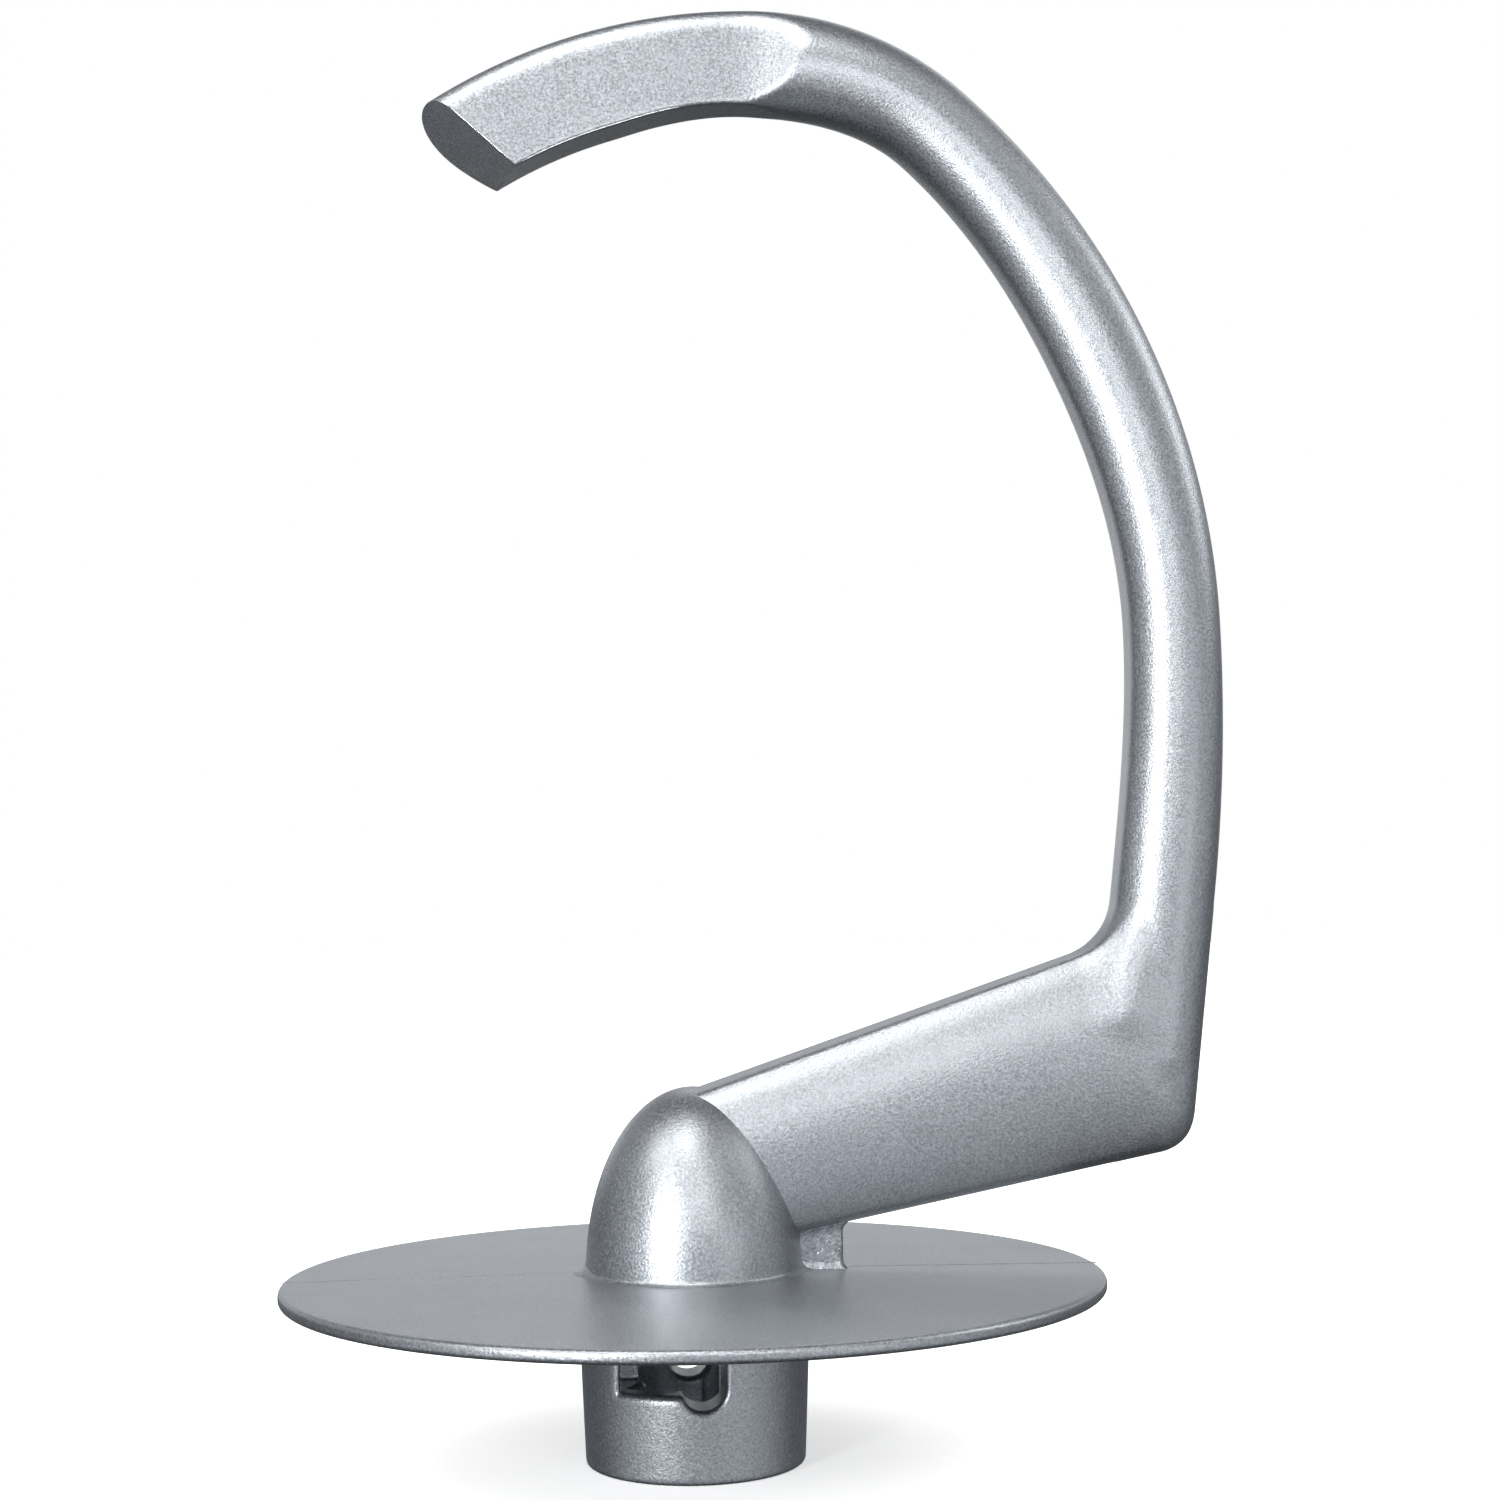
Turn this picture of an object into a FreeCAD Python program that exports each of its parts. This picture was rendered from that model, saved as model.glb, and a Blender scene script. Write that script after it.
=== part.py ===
import FreeCAD, Part
import math
import os

import Sketcher
from FreeCAD import Placement, Rotation, Vector

# Dough hook of a stand mixer: one aluminium casting, built here as the regions that its own
# creases mark out. Millimetres. The origin is the centre of the hub's open end, +Z runs along
# the drive shaft's axis towards the hook, and the hook lies in the XZ plane with its arm on +X.

SIZES = [
    # drive hub
    ("bore_radius", 6.45, "socket for a half-inch agitator shaft"),
    ("bore_depth", 30.0, "blind depth of the socket from the hub's mouth"),
    ("mouth_radius", 12.4, "outside of the hub at its mouth"),
    ("collar_radius", 13.25, "outside of the hub under the shield, with casting draft"),
    ("hub_length", 19.4, "mouth to the underside of the shield"),
    ("mouth_round", 0.6, "edge rounding at the mouth"),
    ("keyway_width", 5.2, "slots that let the shaft's cross pin in"),
    ("keyway_radius", 9.6, "reach of the slots from the axis"),
    ("keyway_angle", 34.0, "degrees from the front, towards -X"),
    ("window_reach", 8.7, "window's far edge from the axis, along -X"),
    ("ledge_height", 9.6, "sill that the pin slides along"),
    ("window_top", 15.0, "head of the window"),
    ("seat_radius", 2.45, "round seat for the cross pin"),
    ("seat_height", 10.4, "centre of the seated pin above the mouth"),
    ("seat_offset", 0.3, "centre of the seated pin from the axis, along +X"),
    # dough shield
    ("shield_radius", 46.5, "round shield above the hub"),
    ("rim_thickness", 1.5, "shield at its rim"),
    ("crown_thickness", 1.9, "shield where the dome stands on it"),
    ("rim_round", 0.5, "rounding of the rim's two edges"),
    # boss dome
    ("dome_radius", 12.3, "foot of the dome"),
    ("dome_height", 20.7, "dome above the shield's crown"),
    # arm
    ("arm_top", 41.5, "top edge of the arm where it meets the axis"),
    ("arm_depth", 18.6, "top to bottom of the arm at the axis"),
    ("top_slope", 18.6, "degrees that the top edge climbs"),
    ("bottom_slope", 11.0, "degrees that the bottom edge climbs"),
    ("arm_thickness", 12.6, "front to back at the axis"),
    ("arm_end_thickness", 11.8, "front to back at the upright"),
    ("heel_round", 3.8, "radius of the arm's outer bottom corner"),
    ("crotch_round", 7.0, "radius between the arm's top edge and the upright"),
    # hook
    ("hook_x", 61.5, "outer line of the hook at its start"),
    ("hook_rise", 1.8, "hook's start above the arm's top edge, carried out to that line"),
    ("upright_lean", 7.0, "degrees that the upright leans outwards there"),
    ("upright_bend", 204.0, "outer radius of the upright"),
    ("upright_sweep", 8.8, "degrees"),
    ("shoulder_bend", 89.0, "outer radius of the shoulder"),
    ("shoulder_sweep", 46.0, "degrees"),
    ("crown_bend", 37.7, "outer radius of the crown"),
    ("crown_sweep", 42.0, "degrees"),
    ("blade_bend", 68.0, "outer radius of the blade"),
    ("blade_sweep", 35.6, "degrees"),
    ("rod_width", 11.8, "rod across, in the hook's plane, at the start"),
    ("waist_width", 11.1, "rod across where the upright ends and at the crown"),
    ("blade_width", 14.1, "blade across, outer edge to inner edge"),
    ("rod_thickness", 11.4, "rod front to back"),
    ("blade_front", 3.0, "flat face of the blade, forward of the hook's plane"),
    ("blade_back", 4.2, "crest of the blade's back, behind the hook's plane"),
    ("tip_turn", 13.0, "degrees that the tip's ground face leans inwards"),
    ("tip_face", 24.5, "degrees that the tip's ground face looks forward"),
    # gate rib
    ("rib_thickness", 3.2, "rib left under the arm by the mould's gate"),
    ("rib_reach", 17.6, "free edge of the rib from the axis"),
]

doc = FreeCAD.newDocument("DoughHook")
sheet = doc.addObject("Spreadsheet::Sheet", "Sizes")
for row, (alias, value, meaning) in enumerate(SIZES, start=1):
    sheet.set("A%d" % row, alias)
    sheet.set("B%d" % row, str(value))
    sheet.set("C%d" % row, meaning)
    sheet.setAlias("B%d" % row, alias)
doc.recompute()


def size(alias):
    """A driving size, read back from the sheet."""
    return float(getattr(sheet, alias))


# ---------------------------------------------------------------- document helpers

def add_body(name):
    body = doc.addObject("PartDesign::Body", name)
    body.Label = name
    return body


def add_sketch(body, name, role):
    """An empty sketch on one of the body's own origin planes."""
    plane = [f for f in body.Origin.OriginFeatures if f.Role == role][0]
    sketch = body.newObject("Sketcher::SketchObject", name)
    sketch.AttachmentSupport = [(plane, "")]
    sketch.MapMode = "FlatFace"
    return sketch


def bind(item, **expressions):
    """Bind properties to expressions in the sheet's aliases."""
    for prop, expression in expressions.items():
        item.setExpression(prop.replace("__", "."), expression)


def hold_point(sketch, edge, end, tag, x, y):
    """Tie one end of an edge to the sketch's origin by two sheet expressions."""
    for axis, kind, expression in (("x", "DistanceX", x), ("y", "DistanceY", y)):
        value = float(sketch.evalExpression(expression))
        if expression == "0":
            line = -2 if axis == "x" else -1
            sketch.addConstraint(Sketcher.Constraint("PointOnObject", edge, end, line))
            continue
        sketch.addConstraint(Sketcher.Constraint(kind, -1, 1, edge, end, value))
        sketch.renameConstraint(sketch.ConstraintCount - 1, axis + tag)
        sketch.setExpression("Constraints." + axis + tag, expression)


def draw_outline(sketch, corners):
    """A closed polygon whose corners are pairs of sheet expressions."""
    points = [Vector(float(sketch.evalExpression(x)), float(sketch.evalExpression(y)), 0)
              for x, y in corners]
    count = len(points)
    for i in range(count):
        sketch.addGeometry(Part.LineSegment(points[i], points[(i + 1) % count]), False)
    for i in range(count):
        sketch.addConstraint(Sketcher.Constraint("Coincident", i, 2, (i + 1) % count, 1))
    for i, (x, y) in enumerate(corners):
        hold_point(sketch, i, 1, str(i), x, y)


def draw_circle(sketch, x, y, radius):
    """A circle whose centre and radius are sheet expressions."""
    centre = Vector(float(sketch.evalExpression(x)), float(sketch.evalExpression(y)), 0)
    value = float(sketch.evalExpression(radius))
    sketch.addGeometry(Part.Circle(centre, Vector(0, 0, 1), value), False)
    hold_point(sketch, 0, 3, "c", x, y)
    sketch.addConstraint(Sketcher.Constraint("Radius", 0, value))
    sketch.renameConstraint(sketch.ConstraintCount - 1, "radius")
    sketch.setExpression("Constraints.radius", radius)


def revolve(body, sketch, name):
    turn = body.newObject("PartDesign::Revolution", name)
    turn.Profile = sketch
    turn.ReferenceAxis = (sketch, ["V_Axis"])
    turn.Angle = 360
    return turn


def round_circles(body, base, name, radius, circle_radius, heights):
    """Round the circular edges of one radius at the given heights."""
    doc.recompute()
    names = []
    for i, edge in enumerate(base.Shape.Edges, start=1):
        curve = edge.Curve
        if not isinstance(curve, Part.Circle) or abs(curve.Radius - circle_radius) > 1e-4:
            continue
        if any(abs(curve.Center.z - z) < 1e-4 for z in heights):
            names.append("Edge%d" % i)
    fillet = body.newObject("PartDesign::Fillet", name)
    fillet.Base = (base, names)
    bind(fillet, Radius=radius)
    return fillet


# ---------------------------------------------------------------- drive hub

def build_drive_hub():
    """Drafted sleeve with two keyways and two bayonet windows, half a turn apart."""
    body = add_body("drive_hub")
    wall = add_sketch(body, "hub_wall", "XZ_Plane")
    draw_outline(wall, [
        ("Sizes.bore_radius", "0"),
        ("Sizes.mouth_radius", "0"),
        ("Sizes.collar_radius", "Sizes.hub_length"),
        ("Sizes.bore_radius", "Sizes.hub_length"),
    ])
    sleeve = revolve(body, wall, "hub_sleeve")
    rounded = round_circles(body, sleeve, "hub_mouth_round", "Sizes.mouth_round",
                            size("mouth_radius"), [0.0])

    slots = add_sketch(body, "keyway_outline", "XY_Plane")
    slots.AttachmentOffset = Placement(Vector(), Rotation(Vector(0, 0, 1), -1))
    bind(slots, AttachmentOffset__Rotation__Angle="-Sizes.keyway_angle * 1 deg")
    draw_outline(slots, [
        ("-Sizes.keyway_width / 2", "-Sizes.keyway_radius"),
        ("Sizes.keyway_width / 2", "-Sizes.keyway_radius"),
        ("Sizes.keyway_width / 2", "Sizes.keyway_radius"),
        ("-Sizes.keyway_width / 2", "Sizes.keyway_radius"),
    ])
    keyways = body.newObject("PartDesign::Pocket", "keyways")
    keyways.Profile = slots
    keyways.Reversed = True
    bind(keyways, Length="Sizes.window_top")

    opening = add_sketch(body, "window_outline", "XZ_Plane")
    seat_left = "Sizes.seat_offset - Sizes.seat_radius"
    seat_right = "Sizes.seat_offset + Sizes.seat_radius"
    draw_outline(opening, [
        ("-Sizes.window_reach", "Sizes.ledge_height"),
        (seat_left, "Sizes.ledge_height"),
        (seat_left, "Sizes.seat_height"),
        (seat_right, "Sizes.seat_height"),
        (seat_right, "Sizes.window_top"),
        ("-Sizes.window_reach", "Sizes.window_top"),
    ])
    seat = add_sketch(body, "seat_outline", "XZ_Plane")
    draw_circle(seat, "Sizes.seat_offset", "Sizes.seat_height", "Sizes.seat_radius")
    cuts = []
    for sketch, name in ((opening, "window"), (seat, "pin_seat")):
        cut = body.newObject("PartDesign::Pocket", name)
        cut.Profile = sketch
        cut.Reversed = True
        bind(cut, Length="Sizes.collar_radius + 1")
        cuts.append(cut)
    pair = body.newObject("PartDesign::PolarPattern", "window_pair")
    pair.Originals = cuts
    axis = [f for f in body.Origin.OriginFeatures if f.Role == "Z_Axis"][0]
    pair.Axis = (axis, [""])
    pair.Angle = 360
    pair.Occurrences = 2
    body.Tip = pair
    return body, (sleeve, rounded, keyways, cuts[0], cuts[1], pair)


# ---------------------------------------------------------------- dough shield and dome

CROWN = "(Sizes.hub_length + Sizes.crown_thickness)"


def build_dough_shield():
    """Shallow round shield, flat below and slightly crowned above, bored for the shaft."""
    body = add_body("dough_shield")
    section = add_sketch(body, "shield_section", "XZ_Plane")
    draw_outline(section, [
        ("Sizes.bore_radius", "Sizes.hub_length"),
        ("Sizes.shield_radius", "Sizes.hub_length"),
        ("Sizes.shield_radius", "Sizes.hub_length + Sizes.rim_thickness"),
        ("Sizes.dome_radius", CROWN),
        ("Sizes.bore_radius", CROWN),
    ])
    plate = revolve(body, section, "shield_plate")
    low = size("hub_length")
    rounded = round_circles(body, plate, "rim_rounds", "Sizes.rim_round",
                            size("shield_radius"), [low, low + size("rim_thickness")])
    return body, (plate, rounded)


def build_boss_dome():
    """Half ellipsoid on the shield, hollowed for the end of the shaft."""
    body = add_body("boss_dome")
    shell = body.newObject("PartDesign::AdditiveEllipsoid", "dome_form")
    shell.Angle1 = 0
    shell.Angle2 = 90
    bind(shell, Radius1="Sizes.dome_height", Radius2="Sizes.dome_radius",
         Radius3="Sizes.dome_radius", Placement__Base__z=CROWN)
    socket = body.newObject("PartDesign::SubtractiveCylinder", "socket_end")
    bind(socket, Radius="Sizes.bore_radius", Height="Sizes.bore_depth - " + CROWN,
         Placement__Base__z=CROWN)
    return body, (shell, socket)


def build_dome_envelope():
    """The dome's outer form, solid, used to trim what runs into it."""
    form = doc.addObject("Part::Ellipsoid", "dome_envelope")
    form.Angle1 = -90
    form.Angle2 = 90
    form.Placement = Placement(Vector(), Rotation(Vector(0, 0, 1), 180))  # seam away from the arm
    bind(form, Radius1="Sizes.dome_height", Radius2="Sizes.dome_radius",
         Radius3="Sizes.dome_radius", Placement__Base__z=CROWN)
    return form


# ---------------------------------------------------------------- hook

RING_POINTS = 24        # points of each rounded section
STEP = 11.0             # longest distance between sections along the outer line
FLAT_START = 0.3        # where the flat front begins, as a share of the crown's length
FLAT_LENGTH = 0.9       # length over which it grows, as a share of the crown's length
BACK_SWELL = 0.25       # how far the crest of the blade's back moves to its outer edge
FRONT_POWER = 0.5       # how square the front's two corners are on the flat blade
PLATE_SHORT = 2.0       # the arm's plate stops this far short of the upright's middle
FIN_SHARE = 0.45        # crotch fin's thickness as a share of the arm's
FIN_ROOT = 5.0          # how far the crotch fin is buried in the arm and the upright
FIN_SINK = 0.2          # its rounded edge's ends dip under their surfaces by this much
HEEL_STEPS = 6          # sections round the heel
HEEL_TURN = math.radians(75)    # how far the heel's rounding turns before its flat sole


def outer_line():
    """Arcs of the hook's outer line, as (radius, sweep in radians), from the start."""
    return [(size(part + "_bend"), math.radians(size(part + "_sweep")))
            for part in ("upright", "shoulder", "crown", "blade")]


def outer_point(distance):
    """Point on the outer line and the line's heading, a distance from its start."""
    heading = math.radians(90 - size("upright_lean"))
    x = size("hook_x")
    z = size("arm_top") + x * math.tan(math.radians(size("top_slope"))) + size("hook_rise")
    arcs = outer_line()
    for i, (radius, sweep) in enumerate(arcs):
        last = i == len(arcs) - 1
        turn = distance / radius if last else min(distance / radius, sweep)
        x += radius * (math.sin(heading + turn) - math.sin(heading))
        z -= radius * (math.cos(heading + turn) - math.cos(heading))
        heading += turn
        distance -= radius * turn
        if distance <= 1e-9:
            break
    return Vector(x, 0, z), heading


def blend(low, high, share):
    """Smooth step from low to high."""
    share = min(max(share, 0.0), 1.0)
    return low + (high - low) * share * share * (3 - 2 * share)


def hook_sections():
    """Distance, width, front, back and flatness of each section of the hook."""
    lengths = [radius * sweep for radius, sweep in outer_line()]
    ends = [sum(lengths[:i]) for i in range(len(lengths) + 1)]
    waist = size("waist_width")
    rod = size("rod_width")
    half = size("rod_thickness") / 2
    widths = [(ends[0], rod), (ends[1], waist), ((ends[1] + ends[2]) / 2, rod),
              (ends[2], waist), (ends[3], (waist + size("blade_width")) / 2),
              (ends[3] + lengths[3] / 2, size("blade_width"))]
    total = ends[4] + size("blade_width") / 2
    count = int(math.ceil(total / STEP))
    sections = []
    for i in range(count + 1):
        at = total * i / count
        width = widths[-1][1]
        for (s0, w0), (s1, w1) in zip(widths, widths[1:]):
            if s0 <= at <= s1:
                width = blend(w0, w1, (at - s0) / (s1 - s0))
        flat = blend(0.0, 1.0, ((at - ends[2]) / lengths[2] - FLAT_START) / FLAT_LENGTH)
        front = half + (size("blade_front") - half) * flat
        back = half + (size("blade_back") - half) * flat
        sections.append((at, width, front, back, flat))
    return sections


def rounded_section(corner, heading, width, front, back, flat):
    """Closed section square to the outer line: round on the rod, flat-fronted on the blade."""
    inward = Vector(-math.sin(heading), 0, math.cos(heading))
    points = []
    for i in range(RING_POINTS):
        turn = 2 * math.pi * i / RING_POINTS
        side = math.sin(turn)
        reach = math.cos(turn)
        if side >= 0:
            depth = back * side * (1 + BACK_SWELL * flat * reach)
        else:
            depth = -front * abs(side) ** (1 - FRONT_POWER * flat)
        across = width / 2 * (1 - reach)
        points.append(corner + inward * across + Vector(0, depth, 0))
    curve = Part.BSplineCurve()
    curve.interpolate(points, PeriodicFlag=True)
    return Part.Wire([curve.toShape()])


def build_hook_bow():
    """Upright, shoulder, crown and blade in one sweep, ground off flat at the tip."""
    wires = []
    for at, width, front, back, flat in hook_sections():
        corner, heading = outer_point(at)
        wires.append(rounded_section(corner, heading, width, front, back, flat))
    sweep = doc.addObject("Part::Feature", "hook_sweep")
    sweep.Shape = Part.makeLoft(wires, True, False)

    length = sum(radius * angle for radius, angle in outer_line())
    tip, heading = outer_point(length)
    block = doc.addObject("Part::Box", "tip_grinding")
    span = 4 * size("blade_width")
    block.Length = block.Width = block.Height = span
    face = Rotation(Vector(0, -1, 0), math.degrees(heading) + size("tip_turn"))
    face = face.multiply(Rotation(Vector(0, 0, 1), -size("tip_face")))
    middle = Vector(0, -span / 2, -span / 2)
    block.Placement = Placement(tip, Rotation()).multiply(
        Placement(Vector(), face)).multiply(Placement(middle, Rotation()))
    hook = doc.addObject("Part::Cut", "hook_bow")
    hook.Base = sweep
    hook.Tool = block
    hook.Label = "hook_bow"
    return hook


# ---------------------------------------------------------------- arm

def build_hook_arm(envelope):
    """Deep oval arm from the dome to the upright, with its rounded heel and crotch."""
    start, heading = outer_point(0)
    rise = math.tan(math.radians(size("top_slope")))
    fall = math.tan(math.radians(size("bottom_slope")))
    along = Vector(math.cos(heading), 0, math.sin(heading))
    end_x = start.x - size("rod_width") / 2 - PLATE_SHORT

    ovals = []
    for name, x, thickness in (("arm_root_oval", 0.0, "arm_thickness"),
                               ("arm_end_oval", end_x, "arm_end_thickness")):
        top = size("arm_top") + rise * x
        bottom = size("arm_top") - size("arm_depth") + fall * x
        oval = doc.addObject("Part::Ellipse", name)
        oval.MajorRadius = (top - bottom) / 2
        oval.MinorRadius = size(thickness) / 2
        oval.Placement = Placement(Vector(x, 0, (top + bottom) / 2),
                                   Rotation(Vector(0, 0, 1), Vector(0, 1, 0), Vector(1, 0, 0)))
        ovals.append(oval)
    plate = doc.addObject("Part::Loft", "arm_plate")
    plate.Sections = ovals
    plate.Solid = True
    plate.Ruled = True

    # the post carries the upright's section down to the heel, which is rounded all round
    half = size("rod_thickness") / 2
    radius = size("heel_round")
    slope = math.radians(size("bottom_slope"))
    sole = Vector(0, 0, size("arm_top") - size("arm_depth"))
    rightward = Vector(math.cos(slope), 0, math.sin(slope))
    upward = Vector(-math.sin(slope), 0, math.cos(slope))
    wires = [rounded_section(start, heading, size("rod_width"), half, half, 0)]
    for i in range(HEEL_STEPS):
        bend = HEEL_TURN * i / (HEEL_STEPS - 1)
        inset = radius * (1 - math.cos(bend))
        height = radius * (1 - math.sin(bend))
        drop = ((start - sole).dot(upward) - height) / along.dot(upward)
        outer = start - along * drop - rightward * inset
        wires.append(rounded_section(outer, slope + math.pi / 2, size("rod_width") - 2 * inset,
                                     half - inset, half - inset, 0))
    post = doc.addObject("Part::Feature", "heel_post")
    post.Shape = Part.makeLoft(wires, True, True)

    # the fin rounds the crotch between the arm's top edge and the upright's inner side
    inward = Vector(-math.sin(heading), 0, math.cos(heading))
    inner = start + inward * size("rod_width")
    top = Vector(1, 0, rise).normalize()
    gap = (inner.z - size("arm_top") - rise * inner.x) / (along.z - rise * along.x)
    corner = inner - along * gap
    turn = top.getAngle(along)
    reach = size("crotch_round") * math.tan(turn / 2)
    low = corner - top * reach
    high = corner + along * reach
    bisector = (along - top).normalize()
    sagitta = size("crotch_round") * (1 / math.cos(turn / 2) - 1)
    middle = corner + bisector * sagitta
    buried = corner - bisector * FIN_ROOT
    fin_wire = Part.Wire([Part.Arc(low, middle, high).toShape(),
                          Part.makeLine(high, buried), Part.makeLine(buried, low)])
    web = size("arm_end_thickness") * FIN_SHARE
    fin = doc.addObject("Part::Feature", "crotch_fin")
    fin.Shape = Part.Face(fin_wire).extrude(Vector(0, web, 0))
    fin.Placement = Placement(Vector(0, -web / 2, 0) - bisector * FIN_SINK, Rotation())

    raw = doc.addObject("Part::MultiFuse", "arm_raw")
    raw.Shapes = [plate, post, fin]
    arm = doc.addObject("Part::Cut", "hook_arm")
    arm.Base = raw
    arm.Tool = envelope
    arm.Label = "hook_arm"
    return arm, raw


# ---------------------------------------------------------------- gate rib

RIB_ROOT = 3.0          # how far the rib's blank reaches into the dome before it is trimmed
RIB_HEAD = 8.0          # how far it reaches above the arm's bottom edge at the axis


def build_gate_rib(envelope, arm_form, shield):
    """Small rib between shield, dome and arm, trimmed to all three."""
    blank = doc.addObject("Part::Box", "rib_blank")
    bind(blank, Length="Sizes.rib_reach - Sizes.dome_radius + %g" % RIB_ROOT,
         Width="Sizes.rib_thickness",
         Height="Sizes.arm_top - Sizes.arm_depth + %g - Sizes.hub_length" % RIB_HEAD,
         Placement__Base__x="Sizes.dome_radius - %g" % RIB_ROOT,
         Placement__Base__y="-Sizes.rib_thickness / 2",
         Placement__Base__z="Sizes.hub_length + Sizes.rim_thickness / 2")
    around = doc.addObject("Part::MultiFuse", "rib_neighbours")
    around.Shapes = [envelope, arm_form, shield]
    rib = doc.addObject("Part::Cut", "gate_rib")
    rib.Base = blank
    rib.Tool = around
    rib.Label = "gate_rib"
    return rib


# ---------------------------------------------------------------- build, check, write

hub, hub_steps = build_drive_hub()
shield, shield_steps = build_dough_shield()
dome, dome_steps = build_boss_dome()
envelope = build_dome_envelope()
hook = build_hook_bow()
arm, arm_form = build_hook_arm(envelope)
rib = build_gate_rib(envelope, arm_form, shield)
doc.recompute()

for steps in (hub_steps, shield_steps, dome_steps):
    print([(step.Name, round(step.Shape.Volume, 1)) for step in steps])
pieces = [hub, shield, dome, arm, hook, rib]
for item in doc.Objects:
    if "Invalid" in item.State or "Error" in item.State:
        raise RuntimeError("%s did not recompute: %s" % (item.Name, item.State))
os.makedirs("parts", exist_ok=True)
for piece in pieces:
    shape = piece.Shape
    if shape.isNull() or not shape.isValid() or len(shape.Solids) != 1:
        raise RuntimeError("%s is not one valid solid" % piece.Label)
for piece in pieces:
    piece.Shape.exportStep("parts/%s.step" % piece.Label)
    box = piece.Shape.BoundBox
    print("%-14s %8.1f mm3  x %6.1f..%5.1f  y %6.1f..%5.1f  z %6.1f..%5.1f" % (
        piece.Label, piece.Shape.Volume, box.XMin, box.XMax, box.YMin, box.YMax, box.ZMin, box.ZMax))
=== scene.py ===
"""Looks of a cast aluminium dough hook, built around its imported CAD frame."""

import logging
import math
from dataclasses import dataclass, field
from enum import Enum
from typing import Callable, Dict, List, Optional, Sequence, Tuple

import bmesh
import bpy
import numpy as np
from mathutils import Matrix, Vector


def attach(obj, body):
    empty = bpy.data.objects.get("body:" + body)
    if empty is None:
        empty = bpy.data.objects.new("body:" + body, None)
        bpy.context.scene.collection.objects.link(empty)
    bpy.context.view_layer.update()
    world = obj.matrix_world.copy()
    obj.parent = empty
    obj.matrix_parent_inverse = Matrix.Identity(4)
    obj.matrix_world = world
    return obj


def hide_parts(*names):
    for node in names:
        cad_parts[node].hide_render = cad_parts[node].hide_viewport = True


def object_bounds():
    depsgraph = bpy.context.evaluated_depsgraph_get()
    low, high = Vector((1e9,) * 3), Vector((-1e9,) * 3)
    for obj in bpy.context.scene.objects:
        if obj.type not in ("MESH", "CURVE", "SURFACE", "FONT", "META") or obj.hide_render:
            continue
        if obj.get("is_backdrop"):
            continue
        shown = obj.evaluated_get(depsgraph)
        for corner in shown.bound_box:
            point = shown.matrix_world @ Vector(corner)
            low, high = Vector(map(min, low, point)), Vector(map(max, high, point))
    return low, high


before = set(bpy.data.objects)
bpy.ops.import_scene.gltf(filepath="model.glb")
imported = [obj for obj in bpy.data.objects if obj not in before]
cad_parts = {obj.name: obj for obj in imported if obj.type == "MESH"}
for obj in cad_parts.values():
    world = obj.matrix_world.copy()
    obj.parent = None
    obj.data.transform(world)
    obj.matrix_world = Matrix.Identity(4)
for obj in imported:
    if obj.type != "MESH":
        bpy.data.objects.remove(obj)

import openvdb
from mathutils import Matrix, Vector

log = logging.getLogger("dough_hook")
MM = 0.001
TINY = 1e-9
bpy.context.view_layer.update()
Point = Tuple[float, float, float]


# ------------------------------------------------------------------ small helpers

def srgb(code: str) -> Tuple[float, float, float, float]:
    """Linear colour of an sRGB hex code.

    Args:
        code: The colour as #rrggbb.

    Returns:
        Linear red, green and blue, and an alpha of one.
    """
    parts = [int(code[i:i + 2], 16) / 255 for i in (1, 3, 5)]
    linear = [c / 12.92 if c <= 0.04045 else ((c + 0.055) / 1.055) ** 2.4 for c in parts]
    return (linear[0], linear[1], linear[2], 1.0)


def add_node(tree: bpy.types.NodeTree, kind: str, settings: Optional[Dict[str, object]] = None,
             **links: object) -> bpy.types.Node:
    """Add a node with its settings and links.

    Args:
        tree: The node tree to add to.
        kind: The node's bl_idname.
        settings: Properties set on the node itself.
        **links: Input name (spaces as underscores) or place (in0, in1) to a value or an
            output socket.

    Returns:
        The new node.
    """
    node = tree.nodes.new(kind)
    for name, value in (settings or {}).items():
        setattr(node, name, value)
    for name, value in links.items():
        socket = find_input(node, name)
        if isinstance(value, bpy.types.NodeSocket):
            tree.links.new(value, socket)
        else:
            socket.default_value = value
    return node


def find_input(node: bpy.types.Node, name: str) -> bpy.types.NodeSocket:
    """Find an input of a node.

    Args:
        node: The node.
        name: The input's name with underscores for spaces, or its place, as in in0 or in1.

    Returns:
        The enabled input of that name, or the input at that place.
    """
    if name.startswith("in") and name[2:].isdigit():
        return node.inputs[int(name[2:])]
    wanted = name.replace("_", " ").lower()
    return [s for s in node.inputs if s.enabled and s.name.lower() == wanted][0]


def smooth_step(low: float, high: float, value: np.ndarray) -> np.ndarray:
    """Zero below low, one above high, smooth between."""
    share = np.clip((value - low) / (high - low), 0.0, 1.0)
    return share * share * (3 - 2 * share)


def make_object(name: str, points: np.ndarray, faces: Sequence[Sequence[int]],
                edges: Sequence[Tuple[int, int]] = ()) -> bpy.types.Object:
    """Make a mesh object and link it to the scene.

    Args:
        name: The name of the object and of its mesh.
        points: Places of the vertices, mm.
        faces: Vertex numbers of each face.
        edges: Vertex numbers of each edge without a face.

    Returns:
        The new object, at the origin and shaded smooth.
    """
    mesh = bpy.data.meshes.new(name)
    mesh.from_pydata((np.asarray(points, float) * MM).tolist(), edges, [list(f) for f in faces])
    mesh.validate()
    mesh.update()
    mesh.polygons.foreach_set("use_smooth", [True] * len(mesh.polygons))
    obj = bpy.data.objects.new(name, mesh)
    bpy.context.scene.collection.objects.link(obj)
    return obj


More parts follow.
